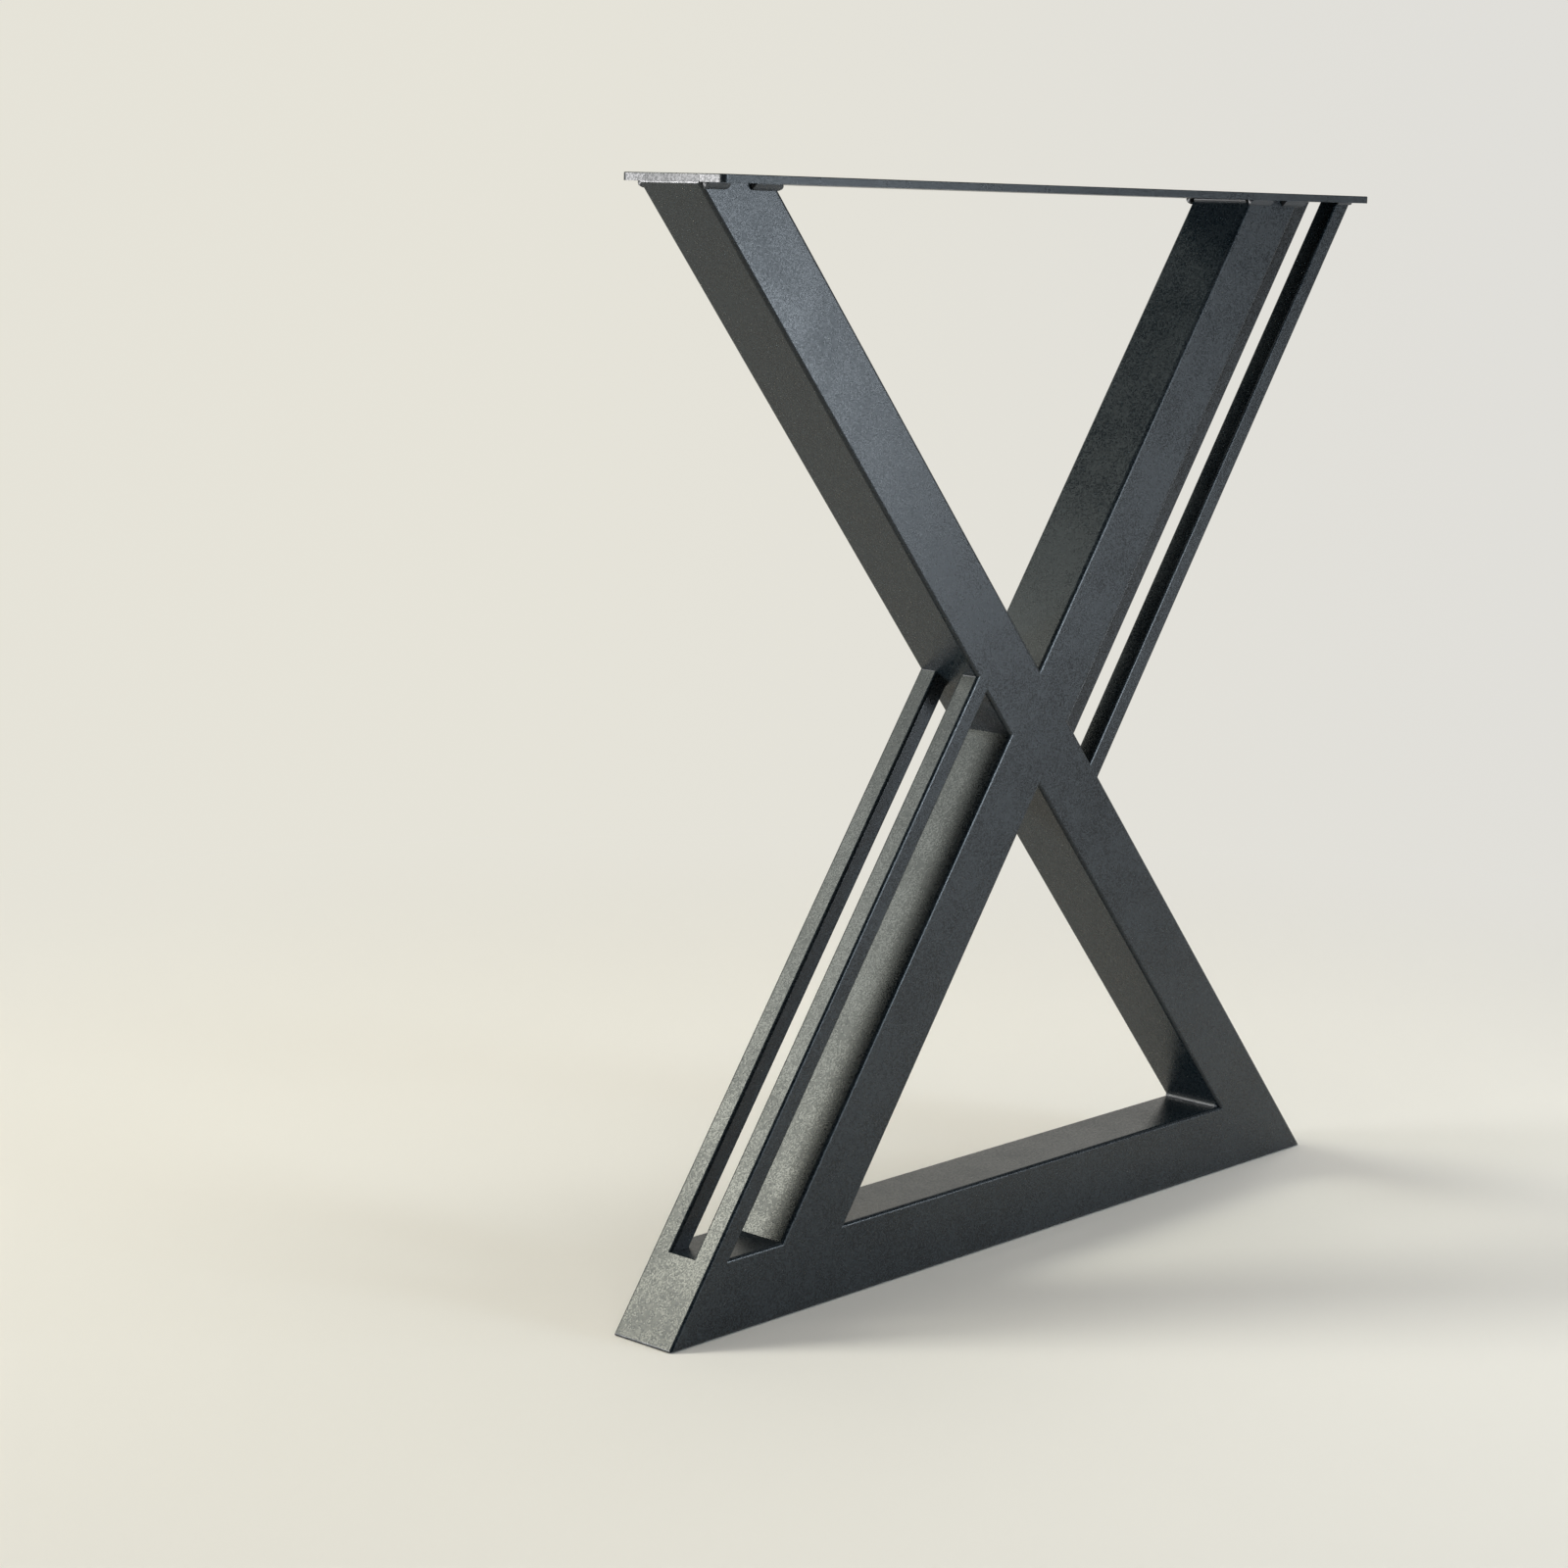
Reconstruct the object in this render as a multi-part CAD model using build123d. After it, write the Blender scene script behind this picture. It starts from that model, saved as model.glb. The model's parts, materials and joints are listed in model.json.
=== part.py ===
from build123d import *
import os
from math import asin, atan2, cos, hypot, sin, tan

os.makedirs("parts", exist_ok=True)

# Desk leg: a welded X frame of square steel tube under a flat screw plate.
# Lengths are in millimetres and +Z is up. The front is at -Y.

# Overall frame
overall_height = 720.0
foot_length = 700.0
top_inset_left = 3.0
tip_radius = 1.2

# Main square tube
tube_side = 50.0
tube_wall = 2.0
tube_corner = 2.5

# Small square tube of the side bars
bar_side = 15.0
bar_wall = 1.5
bar_corner = 2.0

# Clear space between the bars and the brace beside them
side_gap = 40.0

# Plate under the desk top
plate_thickness = 5.0
plate_overhang = 17.0
plate_inset_left = 3.0
plate_inset_right = 1.5
plate_corner = 4.0
plate_edge = 0.6

# Screw holes in the open stretch of the plate
screw_hole_diameter = 9.0
screw_spacing_along = 420.0
screw_spacing_across = 50.0

# Plate that closes the slanted end of the foot rail
cap_thickness = 3.0

# Weld beads, each left unground where the real one shows
plate_weld_leg = 4.0
plate_weld_return = 4.0
diagonal_weld_first = 21.0
diagonal_weld_bare = 21.0
brace_weld_first = 27.0
brace_weld_bare = 15.0
side_weld_leg = 6.0
brace_left_weld_leg = 3.0
bar_weld_leg = 1.5
foot_weld_leg = 3.5

# Seam at the plate's left end, ground to an upright flat with the tube's sharp edge
ground_flat = 0.8
ground_seam_drop = 0.8

# Form of every bead: rise of its face, and the round of its ends
weld_crown = 0.15
weld_end_margin = 0.25
weld_end_roundness = 0.49

# Tightest inside corner that a drawn tube has
least_inner_corner = 0.3

# Slopes of the frame, from the corners that each band of tubes runs between
clear_height = overall_height - plate_thickness
diagonal_run = foot_length - top_inset_left
diagonal_angle = atan2(clear_height, diagonal_run) + asin(tube_side / hypot(clear_height, diagonal_run))
band_width = bar_side + side_gap + tube_side + side_gap + bar_side
brace_angle = atan2(clear_height, foot_length) + asin(band_width / hypot(clear_height, foot_length))

# Unit directions: up each slope, and square to it towards the right
diagonal_up = Vector(-cos(diagonal_angle), 0, sin(diagonal_angle))
diagonal_right = Vector(sin(diagonal_angle), 0, cos(diagonal_angle))
brace_up = Vector(cos(brace_angle), 0, sin(brace_angle))
brace_right = Vector(sin(brace_angle), 0, -cos(brace_angle))
across = Vector(0, 1, 0)
along = Vector(1, 0, 0)
up = Vector(0, 0, 1)

# Corners of the frame in the front view
left_tip = Vector(0, 0, 0)
right_tip = Vector(foot_length, 0, 0)
reach = overall_height + foot_length


def prism(axis_point, direction, side, corner):
    """A long solid square bar with rounded corners, centred on an axis."""
    section = Plane(origin=axis_point, x_dir=across, z_dir=direction)
    return extrude(section * RectangleRounded(side, side, corner), amount=reach, both=True)


def tube(axis_point, direction, side, corner, wall):
    """A long square tube with rounded corners, centred on an axis."""
    inner_corner = max(corner - wall, least_inner_corner)
    bore = prism(axis_point, direction, side - 2 * wall, inner_corner)
    return prism(axis_point, direction, side, corner) - bore


def lowest(shape):
    """The lowest of the separate solids in a shape."""
    return shape.solids().sort_by(Axis.Z)[0]


def highest(shape):
    """The highest of the separate solids in a shape."""
    return shape.solids().sort_by(Axis.Z)[-1]


def level(height):
    """A horizontal plane."""
    return Plane(origin=(0, 0, height), z_dir=(0, 0, 1))


def upright(x):
    """A plane across the frame, facing right."""
    return Plane(origin=(x, 0, 0), z_dir=(1, 0, 0))


def x_on_slope(start, direction, height):
    """X where a sloping line through a point reaches a height."""
    return start.X + direction.X / direction.Z * (height - start.Z)


def bead(corner, first_leg, second_leg, leg, run, length):
    """A weld bead in an inside corner, with a crowned face and round ends."""
    first = corner + first_leg * leg
    second = corner + second_leg * leg
    outward = (first_leg + second_leg).normalized()
    crown = (first + second) / 2 + outward * (leg * weld_crown)
    section = make_face([Line(corner, first), ThreePointArc(first, crown, second), Line(second, corner)])
    straight = extrude(section, amount=length, dir=run)
    facing = Plane(origin=(first + second) / 2 + run * (length / 2), x_dir=run, z_dir=outward)
    width = (second - first).length + leg * weld_end_margin
    window = facing * RectangleRounded(length, width, width * weld_end_roundness)
    return (straight & extrude(window, amount=leg, both=True)).solid()


# Envelopes of the tubes, which the ends of their neighbours are cut to
diagonal_axis = right_tip - diagonal_right * (tube_side / 2)
rail_axis = Vector(0, 0, tube_side / 2)
brace_axis = left_tip + brace_right * (bar_side + side_gap + tube_side / 2)
diagonal_body = prism(diagonal_axis, diagonal_up, tube_side, tube_corner)
rail_body = prism(rail_axis, along, tube_side, tube_corner)

# Slivers that are ground off the two sharp tips on the floor
outer_left = left_tip + brace_up * tube_side
outer_right = right_tip + diagonal_up * tube_side
sharp_view = make_face(Polyline(left_tip, right_tip, outer_right, outer_left, close=True))
round_view = fillet(sharp_view.vertices().group_by(Axis.Z)[0], tip_radius)
tip_waste = extrude(sharp_view - round_view, amount=tube_side, dir=across, both=True)

# Long diagonal, mitred to the foot rail at the floor
half_angle = diagonal_angle / 2
mitre = Plane(origin=right_tip, z_dir=(sin(half_angle), 0, cos(half_angle)))
long_diagonal = tube(diagonal_axis, diagonal_up, tube_side, tube_corner, tube_wall)
long_diagonal = split(long_diagonal, bisect_by=level(clear_height), keep=Keep.BOTTOM)
long_diagonal = split(long_diagonal, bisect_by=mitre, keep=Keep.TOP) - tip_waste
seam_left = top_inset_left + ground_flat
long_diagonal = split(long_diagonal, bisect_by=upright(seam_left), keep=Keep.TOP)

# Foot rail, from the end cap to the mitre
slanted_end = Plane(origin=left_tip, z_dir=brace_right)
inner_end = slanted_end.offset(cap_thickness)
foot_rail = tube(rail_axis, along, tube_side, tube_corner, tube_wall)
foot_rail = split(foot_rail, bisect_by=mitre, keep=Keep.BOTTOM)
foot_rail = split(foot_rail, bisect_by=inner_end, keep=Keep.TOP) - tip_waste

# End cap, with the same round long edges as the bars that stand on it
edge_view = Plane(origin=left_tip + brace_right * (tube_side / 2), x_dir=across, z_dir=brace_up)
edge_sliver = Rectangle(tube_side, tube_side) - RectangleRounded(tube_side, tube_side, bar_corner)
edge_waste = extrude(edge_view * edge_sliver, amount=tube_side * 2, both=True)
foot_end_cap = split(rail_body, bisect_by=slanted_end, keep=Keep.TOP)
foot_end_cap = split(foot_end_cap, bisect_by=inner_end, keep=Keep.BOTTOM) - edge_waste - tip_waste

# Braces, in line with each other and cut to the diagonal between them
brace_tube = tube(brace_axis, brace_up, tube_side, tube_corner, tube_wall)
brace_tube = split(brace_tube, bisect_by=level(tube_side / 2), keep=Keep.TOP)
brace_tube = split(brace_tube, bisect_by=level(clear_height), keep=Keep.BOTTOM)
braces = brace_tube - diagonal_body - rail_body
lower_brace = lowest(braces)
upper_brace = highest(braces)


def side_bar(distance, offset):
    """One small tube along the braces' slope, still crossing the diagonal."""
    axis_point = left_tip + brace_right * distance + across * offset
    bar = tube(axis_point, brace_up, bar_side, bar_corner, bar_wall)
    bar = split(bar, bisect_by=level(tube_side / 2), keep=Keep.TOP)
    bar = split(bar, bisect_by=level(clear_height), keep=Keep.BOTTOM)
    return bar - diagonal_body - rail_body


# Side bars, flush with the front and the rear of the main tubes
bar_offset = (tube_side - bar_side) / 2
lower_distance = bar_side / 2
upper_distance = band_width - bar_side / 2
lower_bar_front = lowest(side_bar(lower_distance, -bar_offset))
lower_bar_rear = lowest(side_bar(lower_distance, bar_offset))
upper_bar_front = highest(side_bar(upper_distance, -bar_offset))
upper_bar_rear = highest(side_bar(upper_distance, bar_offset))

# Top plate, just short of the frame's two top corners
plate_left = top_inset_left + plate_inset_left
plate_right = foot_length - plate_inset_right
plate_middle = Vector((plate_left + plate_right) / 2, 0, clear_height)
plate_outline = RectangleRounded(plate_right - plate_left, tube_side + 2 * plate_overhang, plate_corner)
top_plate = extrude(Plane(origin=plate_middle) * plate_outline, amount=plate_thickness)
top_plate = fillet(top_plate.faces().sort_by(Axis.Z)[-1].outer_wire().edges(), plate_edge)

# Screw holes, in the middle of the stretch between the diagonal and the brace
diagonal_top_right = x_on_slope(right_tip, diagonal_up, clear_height)
brace_left_line = left_tip + brace_right * (bar_side + side_gap)
brace_top_left = x_on_slope(brace_left_line, brace_up, clear_height)
screw_middle = Vector((diagonal_top_right + brace_top_left) / 2, 0, clear_height)
screw_circle = Plane(origin=screw_middle) * Circle(screw_hole_diameter / 2)
for place in GridLocations(screw_spacing_along, screw_spacing_across, 2, 2):
    top_plate = top_plate - extrude(place * screw_circle, amount=plate_thickness)


def plate_beads(weld_left, weld_right, first_length, bare_length):
    """Front and rear beads under the plate, with a bare stretch in each."""
    beads = []
    second_left = weld_left + first_length + bare_length
    second_length = weld_right - second_left
    for outward in (-across, across):
        face_y = outward.Y * tube_side / 2
        first_corner = Vector(weld_left, face_y, clear_height)
        second_corner = Vector(second_left, face_y, clear_height)
        beads.append(bead(first_corner, -up, outward, plate_weld_leg, along, first_length))
        beads.append(bead(second_corner, -up, outward, plate_weld_leg, along, second_length))
    return beads


def side_bead(x, first_leg, second_leg, leg, height):
    """A bead across the flat of the main tube."""
    flat = tube_side - 2 * tube_corner
    corner = Vector(x, -flat / 2, height)
    return bead(corner, first_leg, second_leg, leg, across, flat)


# Welds between the plate and the main tubes
brace_top_right = brace_top_left + tube_side / sin(brace_angle)
weld_right = diagonal_top_right + plate_weld_return
diagonal_plate_welds = plate_beads(plate_left, weld_right, diagonal_weld_first, diagonal_weld_bare)
seam_depth = plate_left - seam_left
seam_outline = RectangleRounded(2 * seam_depth, tube_side - 2 * tube_corner, seam_depth * 0.98)
seam_plane = Plane(origin=(plate_left, 0, clear_height))
ground_seam = extrude(seam_plane * seam_outline, amount=plate_thickness - ground_seam_drop)
diagonal_plate_welds.append(split(ground_seam, bisect_by=upright(plate_left), keep=Keep.BOTTOM).solid())
diagonal_plate_welds.append(side_bead(diagonal_top_right, along, -diagonal_up, side_weld_leg, clear_height))
weld_left = brace_top_left - plate_weld_return
weld_right = brace_top_right + plate_weld_return
brace_plate_welds = plate_beads(weld_left, weld_right, brace_weld_first, brace_weld_bare)
brace_plate_welds.append(side_bead(brace_top_left, -along, -brace_up, brace_left_weld_leg, clear_height))
brace_plate_welds.append(side_bead(brace_top_right, along, -brace_up, side_weld_leg, clear_height))

# Weld in the sharp corner between the foot rail and the diagonal
foot_corner_x = foot_length - tube_side / tan(half_angle)
foot_corner_weld = side_bead(foot_corner_x, -along, diagonal_up, foot_weld_leg, tube_side)

# Welds at the ends of the side bars
bar_flat = bar_side - 2 * bar_corner
bar_top_width = bar_side / sin(brace_angle)
crossing_angle = diagonal_angle + brace_angle
lower_bar_top = left_tip + brace_up * (
    (foot_length * sin(diagonal_angle) - tube_side) / sin(crossing_angle)
)
upper_bar_line = brace_right * band_width
upper_bar_rise = (foot_length * sin(diagonal_angle) - upper_bar_line.dot(diagonal_right)) / sin(crossing_angle)
upper_bar_foot = upper_bar_line + brace_up * upper_bar_rise
upper_bar_plate_welds = []
upper_bar_diagonal_welds = []
lower_bar_diagonal_welds = []
for outward in (-across, across):
    flat_start = across * (outward.Y * bar_offset - bar_flat / 2)
    plate_joint = Vector(foot_length - bar_top_width, outward.Y * tube_side / 2, clear_height)
    upper_bar_plate_welds.append(bead(plate_joint, -up, outward, bar_weld_leg, along, bar_top_width))
    lower_bar_diagonal_welds.append(
        bead(lower_bar_top + flat_start, -brace_up, diagonal_up, bar_weld_leg, across, bar_flat)
    )
    upper_bar_diagonal_welds.append(
        bead(upper_bar_foot + flat_start, brace_up, -diagonal_up, bar_weld_leg, across, bar_flat)
    )

pieces = {
    "top_plate": [top_plate],
    "long_diagonal": [long_diagonal],
    "upper_brace": [upper_brace],
    "lower_brace": [lower_brace],
    "foot_rail": [foot_rail],
    "foot_end_cap": [foot_end_cap],
    "lower_bar_front": [lower_bar_front],
    "lower_bar_rear": [lower_bar_rear],
    "upper_bar_front": [upper_bar_front],
    "upper_bar_rear": [upper_bar_rear],
    "diagonal_plate_welds": diagonal_plate_welds,
    "brace_plate_welds": brace_plate_welds,
    "upper_bar_plate_welds": upper_bar_plate_welds,
    "upper_bar_diagonal_welds": upper_bar_diagonal_welds,
    "lower_bar_diagonal_welds": lower_bar_diagonal_welds,
    "foot_corner_weld": [foot_corner_weld],
}

# Origin on the floor, under the middle of the whole leg
everything = Compound([solid for shapes in pieces.values() for shape in shapes for solid in shape.solids()])
middle = everything.bounding_box().center()
to_origin = Location((-middle.X, -middle.Y, 0))

for name, shapes in pieces.items():
    solids = [solid.moved(to_origin) for shape in shapes for solid in shape.solids()]
    node = solids[0] if len(solids) == 1 else Compound(solids)
    export_step(node, f"parts/{name}.step")
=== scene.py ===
"""Looks of the welded steel desk leg: black powder coat, weld beads and a plain studio.

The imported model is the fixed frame. Its tubes, bars, plate and cap keep their shape
and get the powder coat, and each plain weld bead is replaced by a rippled one.
"""

import json
import logging
import math
from dataclasses import dataclass, field
from enum import Enum

import bmesh
import bpy
import numpy as np
from mathutils import Matrix, Vector

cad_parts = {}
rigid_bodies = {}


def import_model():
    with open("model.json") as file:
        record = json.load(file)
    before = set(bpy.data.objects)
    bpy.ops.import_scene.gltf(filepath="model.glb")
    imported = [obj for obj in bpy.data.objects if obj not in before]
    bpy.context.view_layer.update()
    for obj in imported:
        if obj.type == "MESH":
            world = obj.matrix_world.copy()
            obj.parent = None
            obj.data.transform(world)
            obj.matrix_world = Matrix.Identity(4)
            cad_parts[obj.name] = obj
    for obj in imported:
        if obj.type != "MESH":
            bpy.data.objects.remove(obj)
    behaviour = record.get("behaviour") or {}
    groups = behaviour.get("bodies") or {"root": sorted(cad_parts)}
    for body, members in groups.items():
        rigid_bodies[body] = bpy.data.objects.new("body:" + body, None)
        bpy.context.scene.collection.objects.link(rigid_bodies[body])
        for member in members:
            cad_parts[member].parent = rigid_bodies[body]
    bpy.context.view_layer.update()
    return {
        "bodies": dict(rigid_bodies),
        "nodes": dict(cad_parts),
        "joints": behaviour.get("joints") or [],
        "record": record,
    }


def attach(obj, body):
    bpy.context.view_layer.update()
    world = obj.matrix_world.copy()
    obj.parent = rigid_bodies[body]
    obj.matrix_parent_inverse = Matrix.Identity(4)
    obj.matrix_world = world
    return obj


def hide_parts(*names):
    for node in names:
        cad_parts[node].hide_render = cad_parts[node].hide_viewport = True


LOG = logging.getLogger("desk_leg")
MM = 0.001

# Between these two lie nearly all values of a noise pattern
NOISE_LOW = 0.3
NOISE_HIGH = 0.7


class Section(Enum):
    """What a piece of the leg is cut from, which decides how its coat lies."""

    PLATE = "plate"
    TUBE = "tube"
    BAR = "bar"
    CAP = "cap"
    WELD = "weld"


class NodeSketch:
    """Adds shader nodes to a material and joins them, in few words."""

    def __init__(self, material: bpy.types.Material) -> None:
        """Starts an empty tree.

        Args:
            material: The material whose tree is written.
        """
        material.use_nodes = True
        self.tree = material.node_tree
        self.tree.nodes.clear()

    def add(self, kind: str, **settings: object) -> bpy.types.Node:
        """Adds a node.

        Args:
            kind: Blender's name of the node type.
            **settings: Properties of the node, such as operation="MULTIPLY".

        Returns:
            The new node.
        """
        node = self.tree.nodes.new(kind)
        for name, value in settings.items():
            setattr(node, name, value)
        return node

    def join(self, source: bpy.types.NodeSocket, target: bpy.types.NodeSocket) -> None:
        """Joins an output socket to an input socket."""
        self.tree.links.new(source, target)

    def maths(self, operation: str, first: object, second: object) -> bpy.types.NodeSocket:
        """Adds a Math node.

        Args:
            operation: The operation's name.
            first: A socket or a number.
            second: A socket or a number.

        Returns:
            The result's socket.
        """
        node = self.add("ShaderNodeMath", operation=operation)
        for socket, value in zip(node.inputs, (first, second)):
            if isinstance(value, (int, float)):
                socket.default_value = value
            else:
                self.join(value, socket)
        return node.outputs[0]

    def noise(self, place: bpy.types.NodeSocket, grain: float, detail: float,
              harshness: float = 0.5) -> bpy.types.NodeSocket:
        """Adds a noise pattern.

        Args:
            place: The coordinates that it reads.
            grain: Size of its spots in metres.
            detail: Number of finer layers.
            harshness: Strength of the finer layers.

        Returns:
            The pattern's value from 0 to 1.
        """
        node = self.add("ShaderNodeTexNoise")
        node.inputs["Scale"].default_value = 1.0 / grain
        node.inputs["Detail"].default_value = detail
        node.inputs["Roughness"].default_value = harshness
        self.join(place, node.inputs["Vector"])
        return node.outputs["Fac"]

    def mix(self, share: bpy.types.NodeSocket, first: object,
            second: object) -> bpy.types.NodeSocket:
        """Mixes two colours.

        Args:
            share: Share of the second colour, from 0 to 1.
            first: A socket or the red, green and blue.
            second: A socket or the red, green and blue.

        Returns:
            The mixed colour's socket.
        """
        node = self.add("ShaderNodeMix", data_type="RGBA")
        self.join(share, node.inputs["Factor"])
        for name, colour in (("A", first), ("B", second)):
            if isinstance(colour, tuple):
                node.inputs[name].default_value = (*colour, 1.0)
            else:
                self.join(colour, node.inputs[name])
        return node.outputs["Result"]

    def grains(self, place: bpy.types.NodeSocket, grain: float) -> bpy.types.NodeSocket:
        """Adds a pattern of small cells, each with a value of its own.

        Args:
            place: The coordinates that it reads.
            grain: Size of the cells in metres.

        Returns:
            The pattern's value from 0 to 1.
        """
        cells = self.add("ShaderNodeTexVoronoi")
        cells.inputs["Scale"].default_value = 1.0 / grain
        self.join(place, cells.inputs["Vector"])
        parts = self.add("ShaderNodeSeparateColor")
        self.join(cells.outputs["Color"], parts.inputs["Color"])
        return parts.outputs["Red"]

    def remap(self, value: bpy.types.NodeSocket, low: float, high: float,
              new_low: float, new_high: float) -> bpy.types.NodeSocket:
        """Stretches a range of values to another one.

        Args:
            value: The value's socket.
            low: Start of the range read.
            high: End of the range read.
            new_low: Value given at the start.
            new_high: Value given at the end.

        Returns:
            The new value's socket.
        """
        node = self.add("ShaderNodeMapRange", interpolation_type="SMOOTHSTEP")
        self.join(value, node.inputs["Value"])
        for name, number in (("From Min", low), ("From Max", high),
                             ("To Min", new_low), ("To Max", new_high)):
            node.inputs[name].default_value = number
        return node.outputs["Result"]


@dataclass(frozen=True)
class PowderCoat:
    """Baked satin black powder: pale specks, sandy grain, a soft peel, pinholes and faint clouds.

    The gloss values shift the roughness, the shares mix in the pale colour, and the
    heights are parts of the bump's depth.
    """

    name: str
    colour: tuple[float, float, float] = (0.0020, 0.0050, 0.0078)
    pale: tuple[float, float, float] = (0.012, 0.018, 0.022)
    roughness: float = 0.31
    speck_gloss: float = 0.07
    cloud_gloss: float = 0.03
    pinhole_gloss: float = 0.12
    specular: float = 0.40
    speck_start: float = 0.2
    speck_share: float = 0.8
    cloud_share: float = 0.2
    sand: float = 0.65 * MM
    speck: float = 0.9 * MM
    peel: float = 1.5 * MM
    wave: float = 9.0 * MM
    cloud: float = 38.0 * MM
    pinhole: float = 5.5 * MM
    pinhole_core: float = 0.03
    pinhole_rim: float = 0.10
    depth: float = 0.012 * MM
    peel_height: float = 0.2
    wave_height: float = 0.5
    pinhole_height: float = 0.5

    def gloss(self, sketch: NodeSketch, speck: bpy.types.NodeSocket, cloud: bpy.types.NodeSocket,
              pinhole: bpy.types.NodeSocket) -> bpy.types.NodeSocket:
        """Works out how rough each spot is.

        Args:
            sketch: The tree being written.
            speck: The specks' pattern.
            cloud: The clouds' pattern.
            pinhole: Nought in a pinhole, else one.

        Returns:
            The roughness.
        """
        fine = sketch.remap(speck, 0.0, 1.0, -self.speck_gloss, self.speck_gloss)
        broad = sketch.remap(cloud, NOISE_LOW, NOISE_HIGH, self.roughness - self.cloud_gloss,
                             self.roughness + self.cloud_gloss)
        dull = sketch.remap(pinhole, 0.0, 1.0, self.pinhole_gloss, 0.0)
        return sketch.maths("ADD", sketch.maths("ADD", fine, broad), dull)

    def tone(self, sketch: NodeSketch, speck: bpy.types.NodeSocket,
             cloud: bpy.types.NodeSocket) -> bpy.types.NodeSocket:
        """Mixes the coat's colour from black with paler specks.

        Args:
            sketch: The tree being written.
            speck: The specks' pattern.
            cloud: The clouds' pattern.

        Returns:
            The colour.
        """
        fine = sketch.remap(speck, self.speck_start, 1.0, 0.0, self.speck_share)
        broad = sketch.remap(cloud, NOISE_LOW, NOISE_HIGH, 0.0, self.cloud_share)
        share = sketch.maths("ADD", fine, broad)
        return sketch.mix(share, self.colour, self.pale)

    def material(self) -> bpy.types.Material:
        """Builds the coat.

        Returns:
            The finished material.
        """
        material = bpy.data.materials.new(self.name)
        sketch = NodeSketch(material)
        place = sketch.add("ShaderNodeTexCoord").outputs["Object"]
        sand = sketch.noise(place, self.sand, detail=2.0, harshness=0.6)
        speck = sketch.grains(place, self.speck)
        peel = sketch.noise(place, self.peel, detail=1.0)
        wave = sketch.noise(place, self.wave, detail=1.0)
        cloud = sketch.noise(place, self.cloud, detail=3.0, harshness=0.6)
        spots = sketch.add("ShaderNodeTexVoronoi")
        spots.inputs["Scale"].default_value = 1.0 / self.pinhole
        sketch.join(place, spots.inputs["Vector"])
        pinhole = sketch.remap(spots.outputs["Distance"], self.pinhole_core, self.pinhole_rim,
                               0.0, 1.0)
        height = sand
        for pattern, part in ((peel, self.peel_height), (wave, self.wave_height),
                              (pinhole, self.pinhole_height)):
            height = sketch.maths("ADD", sketch.maths("MULTIPLY", pattern, part), height)
        bump = sketch.add("ShaderNodeBump")
        bump.inputs["Strength"].default_value = 1.0
        bump.inputs["Distance"].default_value = self.depth
        sketch.join(height, bump.inputs["Height"])
        shader = sketch.add("ShaderNodeBsdfPrincipled")
        shader.inputs["Specular IOR Level"].default_value = self.specular
        sketch.join(self.tone(sketch, speck, cloud), shader.inputs["Base Color"])
        sketch.join(self.gloss(sketch, speck, cloud, pinhole), shader.inputs["Roughness"])
        sketch.join(bump.outputs["Normal"], shader.inputs["Normal"])
        output = sketch.add("ShaderNodeOutputMaterial")
        sketch.join(shader.outputs["BSDF"], output.inputs["Surface"])
        return material


@dataclass
class SteelParts:
    """The cut steel pieces, which keep the CAD shape and get the coat."""

    pieces: dict[str, Section] = field(default_factory=lambda: {
        "top_plate": Section.PLATE,
        "long_diagonal": Section.TUBE,
        "upper_brace": Section.TUBE,
        "lower_brace": Section.TUBE,
        "foot_rail": Section.TUBE,
        "foot_end_cap": Section.CAP,
        "lower_bar_front": Section.BAR,
        "lower_bar_rear": Section.BAR,
        "upper_bar_front": Section.BAR,
        "upper_bar_rear": Section.BAR,
    })

    def dress(self, frame: dict, coats: dict[Section, bpy.types.Material]) -> None:
        """Gives each piece its coat.

        Args:
            coats: The coat of each kind of section.
        """
        for name, section in self.pieces.items():
            node = frame["nodes"][name]
            node.data.materials.clear()
            node.data.materials.append(coats[section])
            LOG.info("coated %s as %s", name, section.value)


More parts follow.
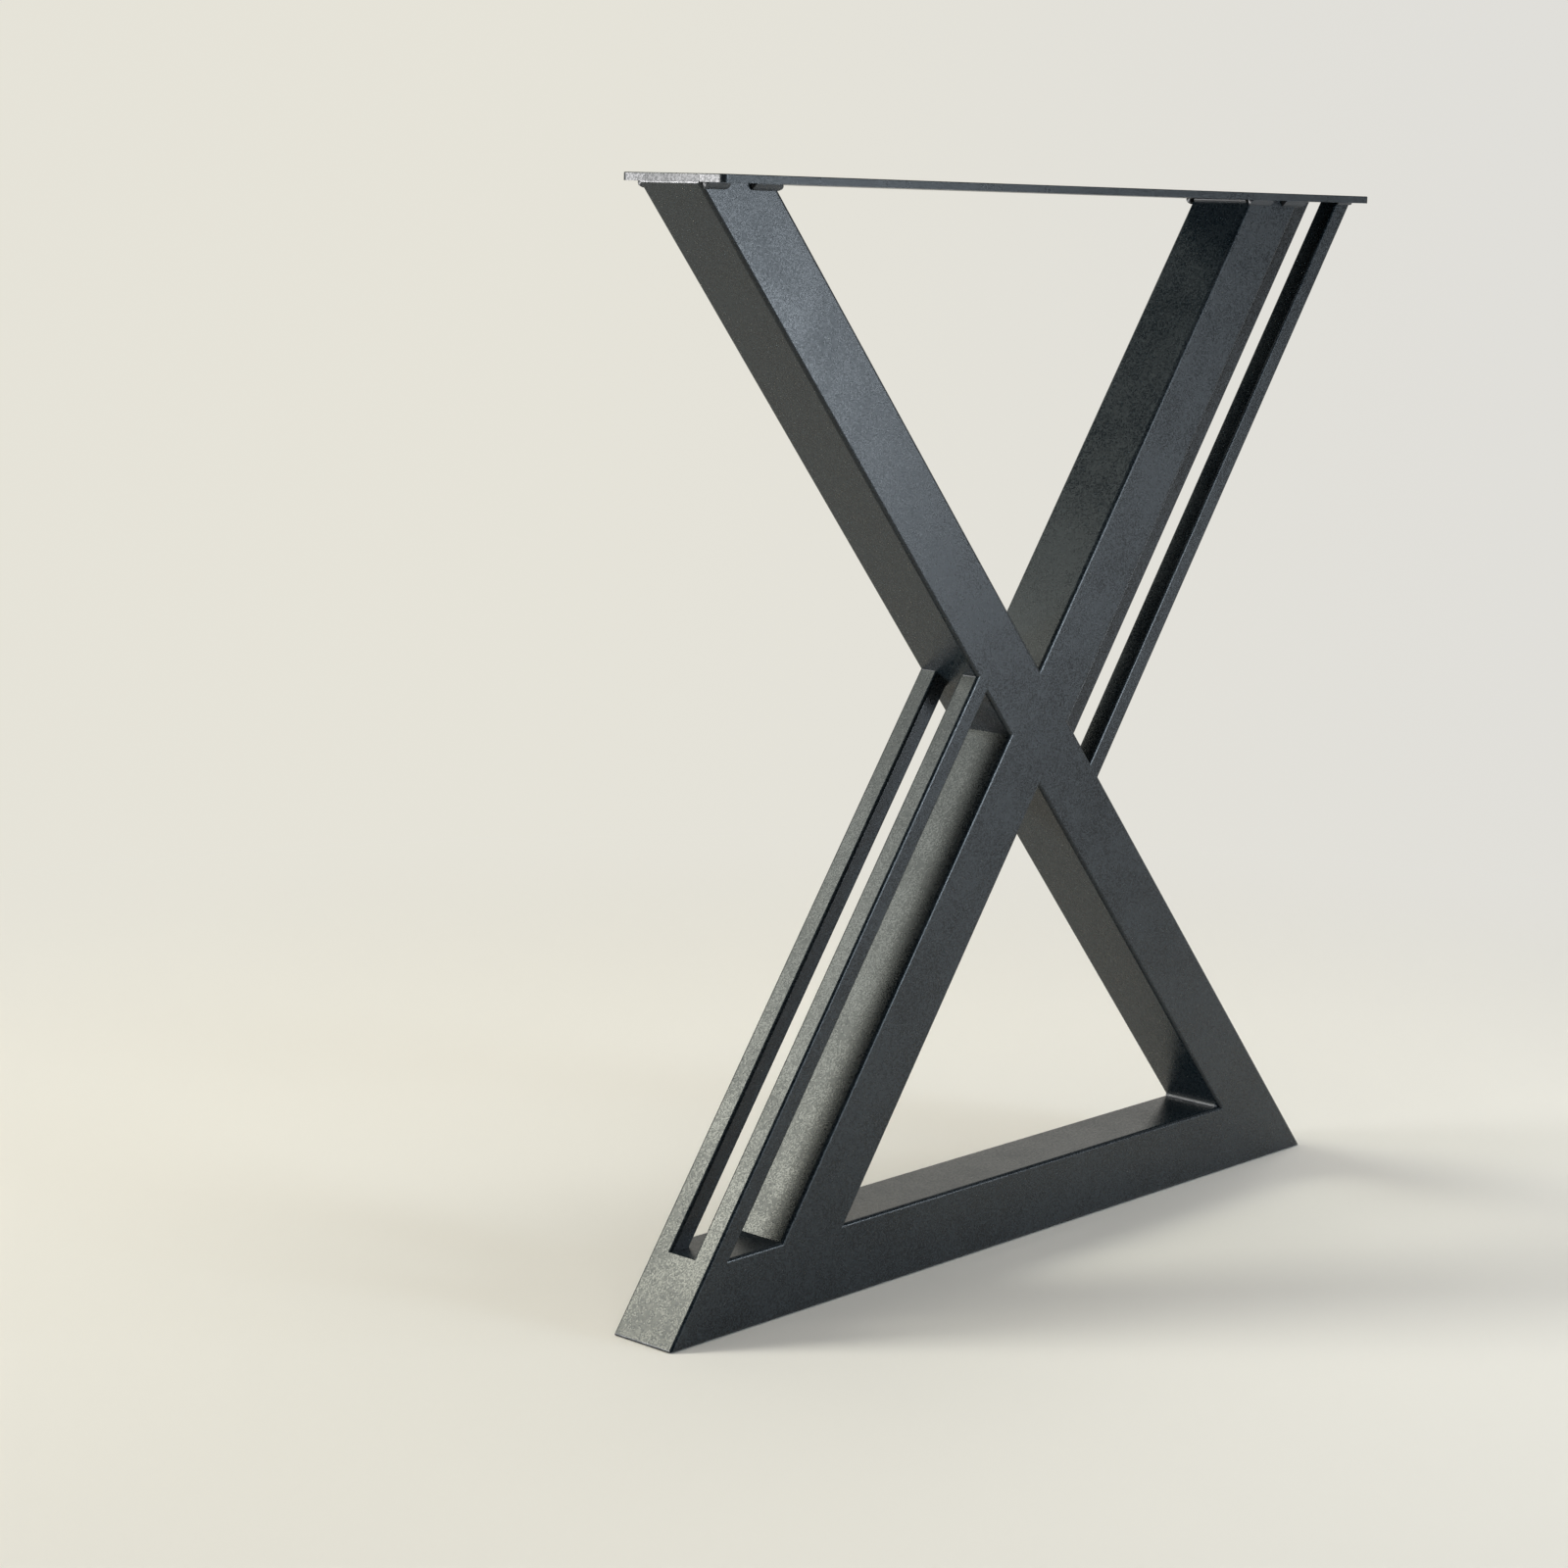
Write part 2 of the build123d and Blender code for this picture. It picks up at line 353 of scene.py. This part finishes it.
class RippleTree:
    """The geometry nodes that turn a smooth bead into a laid one, with ripples and lumps."""

    INPUTS = ("Ripple Pitch", "Ripple Depth", "Bow", "Lump Size", "Lump Depth", "Seed")
    CREST = 0.7
    LUMP_DETAIL = 2.0

    def __init__(self) -> None:
        """Builds the node tree."""
        self.tree = bpy.data.node_groups.new("laid_bead", "GeometryNodeTree")
        face = self.tree.interface
        face.new_socket("Geometry", in_out="INPUT", socket_type="NodeSocketGeometry")
        for name in self.INPUTS:
            face.new_socket(name, in_out="INPUT", socket_type="NodeSocketFloat")
        face.new_socket("Coat", in_out="INPUT", socket_type="NodeSocketMaterial")
        face.new_socket("Geometry", in_out="OUTPUT", socket_type="NodeSocketGeometry")
        self.entry = self.tree.nodes.new("NodeGroupInput")
        self.write()

    def maths(self, operation: str, first: object, second: object = 0.0) -> bpy.types.NodeSocket:
        """Adds a Math node.

        Args:
            operation: The operation's name.
            first: A socket or a number.
            second: A socket or a number.

        Returns:
            The result's socket.
        """
        node = self.tree.nodes.new("ShaderNodeMath")
        node.operation = operation
        for socket, value in zip(node.inputs, (first, second)):
            if isinstance(value, (int, float)):
                socket.default_value = value
            else:
                self.tree.links.new(value, socket)
        return node.outputs[0]

    def stored(self, name: str) -> bpy.types.NodeSocket:
        """Reads a value that the mesh keeps at each vertex."""
        node = self.tree.nodes.new("GeometryNodeInputNamedAttribute")
        node.data_type = "FLOAT"
        node.inputs["Name"].default_value = name
        return node.outputs["Attribute"]

    def noise(self, size: bpy.types.NodeSocket) -> bpy.types.NodeSocket:
        """Adds a noise pattern, centred on nought, that changes with the seed.

        Args:
            size: Size of its lumps in metres.

        Returns:
            The pattern's value.
        """
        node = self.tree.nodes.new("ShaderNodeTexNoise")
        node.noise_dimensions = "4D"
        node.inputs["Detail"].default_value = self.LUMP_DETAIL
        self.tree.links.new(self.maths("DIVIDE", 1.0, size), node.inputs["Scale"])
        self.tree.links.new(self.entry.outputs["Seed"], node.inputs["W"])
        return self.maths("SUBTRACT", node.outputs["Fac"], 0.5)

    def write(self) -> None:
        """Writes the nodes: crescent ripples along the run, with lumps over them."""
        entry, links = self.entry.outputs, self.tree.links
        lump = self.noise(entry["Lump Size"])
        across = self.stored("across")
        bow = self.maths("MULTIPLY", self.maths("MULTIPLY", across, across), entry["Bow"])
        along = self.maths("ADD", self.maths("ADD", self.stored("run"), bow),
                           self.maths("MULTIPLY", lump, entry["Ripple Pitch"]))
        turn = self.maths("MULTIPLY", self.maths("DIVIDE", along, entry["Ripple Pitch"]), math.pi)
        ripple = self.maths("POWER", self.maths("ABSOLUTE", self.maths("SINE", turn)), self.CREST)
        height = self.maths("ADD", self.maths("MULTIPLY", ripple, entry["Ripple Depth"]),
                            self.maths("MULTIPLY", lump, entry["Lump Depth"]))
        height = self.maths("MULTIPLY", height, self.stored("laid"))
        outward = self.tree.nodes.new("ShaderNodeVectorMath")
        outward.operation = "SCALE"
        normal = self.tree.nodes.new("GeometryNodeInputNormal")
        links.new(normal.outputs["Normal"], outward.inputs[0])
        links.new(height, outward.inputs["Scale"])
        shift = self.tree.nodes.new("GeometryNodeSetPosition")
        links.new(entry["Geometry"], shift.inputs["Geometry"])
        links.new(outward.outputs["Vector"], shift.inputs["Offset"])
        real = self.tree.nodes.new("GeometryNodeRealizeInstances")
        links.new(shift.outputs["Geometry"], real.inputs["Geometry"])
        coat = self.tree.nodes.new("GeometryNodeSetMaterial")
        links.new(real.outputs["Geometry"], coat.inputs["Geometry"])
        links.new(entry["Coat"], coat.inputs["Material"])
        result = self.tree.nodes.new("NodeGroupOutput")
        links.new(coat.outputs["Geometry"], result.inputs["Geometry"])

    def lay(self, piece: bpy.types.Object, values: dict[str, object]) -> bpy.types.Mesh:
        """Runs the tree on a piece.

        Args:
            piece: The object with the smooth beads.
            values: The inputs by name.

        Returns:
            The plain mesh of the laid beads.
        """
        modifier = piece.modifiers.new("laid_bead", "NODES")
        modifier.node_group = self.tree
        for socket in self.tree.interface.items_tree:
            if socket.in_out == "INPUT" and socket.name in values:
                modifier[socket.identifier] = values[socket.name]
        bpy.context.view_layer.update()
        graph = bpy.context.evaluated_depsgraph_get()
        mesh = bpy.data.meshes.new_from_object(piece.evaluated_get(graph))
        piece.modifiers.remove(modifier)
        return mesh


@dataclass
class WeldBeads:
    """Rippled beads that stand for the plain bead solids of the CAD."""

    groups: tuple[str, ...] = (
        "diagonal_plate_welds",
        "brace_plate_welds",
        "upper_bar_plate_welds",
        "upper_bar_diagonal_welds",
        "lower_bar_diagonal_welds",
        "foot_corner_weld",
    )
    grain: float = 0.25 * MM
    merge: float = 0.001 * MM
    soften_factor: float = 0.5
    soften_rounds: int = 3
    ripple_pitch: float = 1.7 * MM
    ripple_depth: float = 0.09 * MM
    bow: float = 90.0
    lump_size: float = 3.2 * MM
    lump_depth: float = 0.24 * MM
    ground_width: float = 2.6 * MM
    ground_share: float = 0.05
    first_seed: float = 1.0
    seed_step: float = 3.0

    def fine_mesh(self, node: bpy.types.Object) -> bpy.types.Mesh:
        """Makes an even, dense mesh of a node's beads.

        Args:
            node: The CAD node, which is only read.

        Returns:
            The dense mesh.
        """
        shape = bmesh.new()
        shape.from_mesh(node.data)
        bmesh.ops.remove_doubles(shape, verts=shape.verts[:], dist=self.merge)
        mesh = bpy.data.meshes.new(node.name + "_smooth")
        shape.to_mesh(mesh)
        shape.free()
        holder = bpy.data.objects.new(node.name + "_smooth", mesh)
        bpy.context.scene.collection.objects.link(holder)
        remesh = holder.modifiers.new("even", "REMESH")
        remesh.mode = "VOXEL"
        remesh.voxel_size = self.grain
        soften = holder.modifiers.new("soften", "SMOOTH")
        soften.factor = self.soften_factor
        soften.iterations = self.soften_rounds
        bpy.context.view_layer.update()
        graph = bpy.context.evaluated_depsgraph_get()
        fine = bpy.data.meshes.new_from_object(holder.evaluated_get(graph))
        bpy.data.objects.remove(holder)
        return fine

    def mark_runs(self, mesh: bpy.types.Mesh) -> int:
        """Stores at each vertex its place along and across its own bead, and whether it is laid.

        A bead narrower than the ground width was ground flat, so it keeps no ripples
        and is pressed almost level with the plate's end.

        Args:
            mesh: The dense mesh of one or more separate beads.

        Returns:
            The number of beads.
        """
        shape = bmesh.new()
        shape.from_mesh(mesh)
        bmesh.ops.recalc_face_normals(shape, faces=shape.faces[:])
        shape.verts.ensure_lookup_table()
        run = np.zeros(len(shape.verts), np.float32)
        across = np.zeros(len(shape.verts), np.float32)
        laid = np.ones(len(shape.verts), np.float32)
        waiting, beads = set(range(len(shape.verts))), 0
        while waiting:
            front, bead = [waiting.pop()], []
            while front:
                index = front.pop()
                bead.append(index)
                for edge in shape.verts[index].link_edges:
                    other = edge.other_vert(shape.verts[index]).index
                    if other in waiting:
                        waiting.discard(other)
                        front.append(other)
            places = np.array([shape.verts[index].co for index in bead])
            if np.ptp(places[:, 0]) < self.ground_width:
                laid[bead] = 0.0
                self.press(shape, bead)
            places -= places.mean(0)
            axes = np.linalg.eigh(places.T @ places)[1]
            run[bead] = places @ axes[:, 2]
            across[bead] = places @ axes[:, 1]
            beads += 1
        shape.to_mesh(mesh)
        shape.free()
        for name, values in (("run", run), ("across", across), ("laid", laid)):
            mesh.attributes.new(name, "FLOAT", "POINT").data.foreach_set("value", values)
        return beads

    def press(self, shape: bmesh.types.BMesh, bead: list[int]) -> None:
        """Presses a ground bead against the plate's end.

        Args:
            shape: The mesh being marked.
            bead: The indices of the bead's vertices.
        """
        back = max(shape.verts[index].co.x for index in bead)
        for index in bead:
            vertex = shape.verts[index]
            vertex.co.x = back - (back - vertex.co.x) * self.ground_share

    def keep_inside(self, mesh: bpy.types.Mesh, node: bpy.types.Object) -> None:
        """Holds the laid beads inside the box of the plain ones.

        Args:
            mesh: The mesh of the laid beads.
            node: The CAD node with the plain beads, which is only read.
        """
        plain = np.array([vertex.co for vertex in node.data.vertices])
        places = np.empty(3 * len(mesh.vertices), np.float32)
        mesh.vertices.foreach_get("co", places)
        places = np.clip(places.reshape(-1, 3), plain.min(0), plain.max(0))
        mesh.vertices.foreach_set("co", places.ravel())
        mesh.update()

    def dress(self, frame: dict, coat: bpy.types.Material) -> None:
        """Lays each group of beads and lets it stand for its CAD node.

        Args:
            coat: The coat of the beads.
        """
        ripples = RippleTree()
        for place, name in enumerate(self.groups):
            fine = self.fine_mesh(frame["nodes"][name])
            beads = self.mark_runs(fine)
            piece = bpy.data.objects.new("laid_" + name, fine)
            bpy.context.scene.collection.objects.link(piece)
            piece.data = ripples.lay(piece, {
                "Ripple Pitch": self.ripple_pitch,
                "Ripple Depth": self.ripple_depth,
                "Bow": self.bow,
                "Lump Size": self.lump_size,
                "Lump Depth": self.lump_depth,
                "Seed": self.seed_step * place + self.first_seed,
                "Coat": coat,
            })
            self.keep_inside(piece.data, frame["nodes"][name])
            for face in piece.data.polygons:
                face.use_smooth = True
            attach(piece, "root")
            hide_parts(name)
            LOG.info("laid %d beads of %s with %d faces", beads, name, len(piece.data.polygons))


@dataclass(frozen=True)
class SoftBox:
    """One large soft studio lamp."""

    name: str
    azimuth: float
    elevation: float
    strength: float
    width: float
    height: float
    distance: float
    tint: tuple[float, float, float]

    def light(self, target: Vector) -> bpy.types.Object:
        """Hangs the lamp.

        Args:
            target: The point that it faces.

        Returns:
            The lamp's object.
        """
        around, up = math.radians(self.azimuth), math.radians(self.elevation)
        level = math.cos(up)
        outward = Vector((math.cos(around) * level, math.sin(around) * level, math.sin(up)))
        lamp = bpy.data.lights.new(self.name, "AREA")
        lamp.shape = "RECTANGLE"
        lamp.size = self.width
        lamp.size_y = self.height
        lamp.energy = self.strength * math.pi * self.width * self.height
        lamp.color = self.tint
        lamp.use_shadow = True
        stand = bpy.data.objects.new(self.name, lamp)
        stand.location = target + outward * self.distance
        stand.rotation_euler = outward.to_track_quat("Z", "Y").to_euler()
        bpy.context.scene.collection.objects.link(stand)
        return stand


@dataclass
class Studio:
    """A pale sweep, soft boxes and the camera."""

    # The paper is paler to the right: painted light that makes up for the lamps' falloff there.
    paper_left: tuple[float, float, float] = (0.77, 0.745, 0.69)
    paper_right_painted_light: tuple[float, float, float] = (0.87, 0.85, 0.81)
    # The glow seen by camera and glossy rays is brighter and warmer to the left: painted light.
    glow_left_painted_light: tuple[float, float, float] = (0.79, 0.77, 0.69)
    glow_right: tuple[float, float, float] = (0.745, 0.735, 0.70)
    # Dimmer glow in front of the leg: painted shade, which also darkens what the front faces
    # reflect.
    glow_near_painted_shade: tuple[float, float, float] = (0.50, 0.49, 0.47)
    paper_start: float = -0.8
    paper_end: float = 1.2
    lit_reach: float = 0.55
    glow_reach: float = 1.5
    glow_front: float = -0.9
    glow_back: float = 0.3
    reach: float = 9.0
    bend_start: float = 1.6
    bend_radius: float = 1.6
    bend_steps: int = 24
    wall_height: float = 4.0
    world_level: float = 0.03
    view_place: tuple[float, float, float] = (-1.8157029, -1.4118509, 0.7045870)
    view_turn: tuple[float, float, float] = (80.30268, -1.52636, -48.04667)
    lens: float = 78.1767
    sensor: float = 36.0
    clip_end: float = 60.0
    lamp_target: tuple[float, float, float] = (0.0, 0.0, 0.36)
    boxes: tuple[SoftBox, ...] = (
        SoftBox("window_low", 144.5, 2.0, 48.0, 1.4, 0.9, 4.4, (0.98, 0.97, 0.98)),
        SoftBox("window_middle", 131.0, 26.0, 13.0, 1.4, 1.0, 4.4, (1.0, 0.99, 0.82)),
        SoftBox("window_high", 129.0, 36.0, 8.0, 1.3, 1.2, 4.4, (0.96, 1.0, 0.92)),
        SoftBox("front_edge", 287.0, 8.0, 19.0, 0.9, 0.9, 3.4, (0.74, 0.88, 1.0)),
        SoftBox("front_low", 308.0, 0.5, 17.5, 0.8, 0.66, 3.4, (0.80, 0.90, 1.0)),
        SoftBox("ceiling", 320.0, 82.0, 3.3, 2.2, 2.2, 2.8, (1.0, 0.97, 0.92)),
    )

    def sweep(self) -> bpy.types.Object:
        """Makes the floor and the wall behind it as one bent sheet.

        Returns:
            The sheet.
        """
        turn = Matrix.Rotation(math.radians(self.view_turn[2]), 4, "Z")
        profile = [(-self.reach, 0.0), (self.bend_start, 0.0)]
        for step in range(1, self.bend_steps + 1):
            angle = math.radians(90.0 * step / self.bend_steps)
            profile.append((self.bend_start + self.bend_radius * math.sin(angle),
                            self.bend_radius * (1.0 - math.cos(angle))))
        profile.append((self.bend_start + self.bend_radius, self.wall_height))
        mesh = bpy.data.meshes.new("studio_sweep")
        points, faces = [], []
        for along, up in profile:
            for side in (-self.reach, self.reach):
                points.append(turn @ Vector((side, along, up)))
        for row in range(len(profile) - 1):
            faces.append((2 * row, 2 * row + 1, 2 * row + 3, 2 * row + 2))
        mesh.from_pydata(points, [], faces)
        mesh.update()
        for face in mesh.polygons:
            face.use_smooth = True
        sheet = bpy.data.objects.new("studio_sweep", mesh)
        bpy.context.scene.collection.objects.link(sheet)
        mesh.materials.append(self.paper_material())
        return sheet

    def paper_material(self) -> bpy.types.Material:
        """Builds the matt paper of the sweep. Its colour is paler to the right, painted light that
        evens the floor under the lamps. Far from the leg, camera and glossy rays see a glow
        instead, brighter to the left as painted light and dimmer in front of the leg as painted
        shade.

        Returns:
            The paper's material.
        """
        material = bpy.data.materials.new("studio_paper")
        sketch = NodeSketch(material)
        place = sketch.add("ShaderNodeTexCoord").outputs["Object"]
        turn = sketch.add("ShaderNodeMapping", vector_type="POINT")
        turn.inputs["Rotation"].default_value = (0.0, 0.0, -math.radians(self.view_turn[2]))
        sketch.join(place, turn.inputs["Vector"])
        sides = sketch.add("ShaderNodeSeparateXYZ")
        sketch.join(turn.outputs["Vector"], sides.inputs["Vector"])
        # Ramp from left to right for the painted light on the paper and on the glow.
        painted_side_ramp = sketch.remap(sides.outputs["X"], self.paper_start, self.paper_end, 0.0, 1.0)
        matt = sketch.add("ShaderNodeBsdfDiffuse")
        sketch.join(sketch.mix(painted_side_ramp, self.paper_left, self.paper_right_painted_light), matt.inputs["Color"])
        depth = sketch.add("ShaderNodeSeparateXYZ")
        sketch.join(place, depth.inputs["Vector"])
        # Fade from the painted shade of the glow in front of the leg to the full glow behind it.
        painted_shade_fade = sketch.remap(depth.outputs["Y"], self.glow_front, self.glow_back, 0.0, 1.0)
        glow_far = sketch.mix(painted_side_ramp, self.glow_left_painted_light, self.glow_right)
        glow = sketch.add("ShaderNodeEmission")
        sketch.join(sketch.mix(painted_shade_fade, self.glow_near_painted_shade, glow_far), glow.inputs["Color"])
        ray = sketch.add("ShaderNodeLightPath")
        seen = sketch.maths("MAXIMUM", ray.outputs["Is Camera Ray"],
                            sketch.maths("MAXIMUM", ray.outputs["Is Glossy Ray"],
                                         ray.outputs["Is Transmission Ray"]))
        span = sketch.add("ShaderNodeVectorMath", operation="LENGTH")
        sketch.join(place, span.inputs[0])
        far = sketch.remap(span.outputs["Value"], self.lit_reach, self.glow_reach, 0.0, 1.0)
        blend = sketch.add("ShaderNodeMixShader")
        sketch.join(sketch.maths("MULTIPLY", seen, far), blend.inputs["Fac"])
        sketch.join(matt.outputs["BSDF"], blend.inputs[1])
        sketch.join(glow.outputs["Emission"], blend.inputs[2])
        output = sketch.add("ShaderNodeOutputMaterial")
        sketch.join(blend.outputs["Shader"], output.inputs["Surface"])
        return material

    def air(self) -> None:
        """Sets the even light that fills the room."""
        world = bpy.data.worlds.new("studio_air")
        world.use_nodes = True
        background = world.node_tree.nodes["Background"]
        background.inputs["Color"].default_value = (1.0, 1.0, 1.0, 1.0)
        background.inputs["Strength"].default_value = self.world_level
        bpy.context.scene.world = world

    def camera(self) -> bpy.types.Object:
        """Sets the camera where the photograph was taken from.

        Returns:
            The camera's object.
        """
        data = bpy.data.cameras.new("studio_camera")
        data.lens = self.lens
        data.sensor_width = self.sensor
        data.clip_end = self.clip_end
        camera = bpy.data.objects.new("studio_camera", data)
        camera.location = self.view_place
        camera.rotation_euler = [math.radians(angle) for angle in self.view_turn]
        bpy.context.scene.collection.objects.link(camera)
        bpy.context.scene.camera = camera
        return camera

    def build(self) -> None:
        """Builds the whole studio."""
        self.sweep()
        self.air()
        target = Vector(self.lamp_target)
        for box in self.boxes:
            box.light(target)
            LOG.info("hung %s", box.name)
        self.camera()
        bpy.context.scene.view_settings.view_transform = "Standard"


def mix_coats() -> dict[Section, bpy.types.Material]:
    """Builds the coats, a little rougher on the plate and paler on the welds.

    Returns:
        The coat of each kind of section.
    """
    coats = {section: PowderCoat("powder_coat_" + section.value)
             for section in (Section.TUBE, Section.BAR, Section.CAP)}
    coats[Section.PLATE] = PowderCoat("powder_coat_on_plate", roughness=0.355)
    coats[Section.WELD] = PowderCoat("powder_coat_on_weld", colour=(0.030, 0.034, 0.039),
                                     pale=(0.050, 0.054, 0.060), roughness=0.42)
    return {section: coat.material() for section, coat in coats.items()}


def main() -> None:
    """Builds the coats, the beads and the studio in order."""
    logging.basicConfig(level=logging.INFO, format="%(name)s: %(message)s")
    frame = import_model()
    coats = mix_coats()
    SteelParts().dress(frame, coats)
    WeldBeads().dress(frame, coats[Section.WELD])
    Studio().build()


if __name__ == "__main__":
    main()
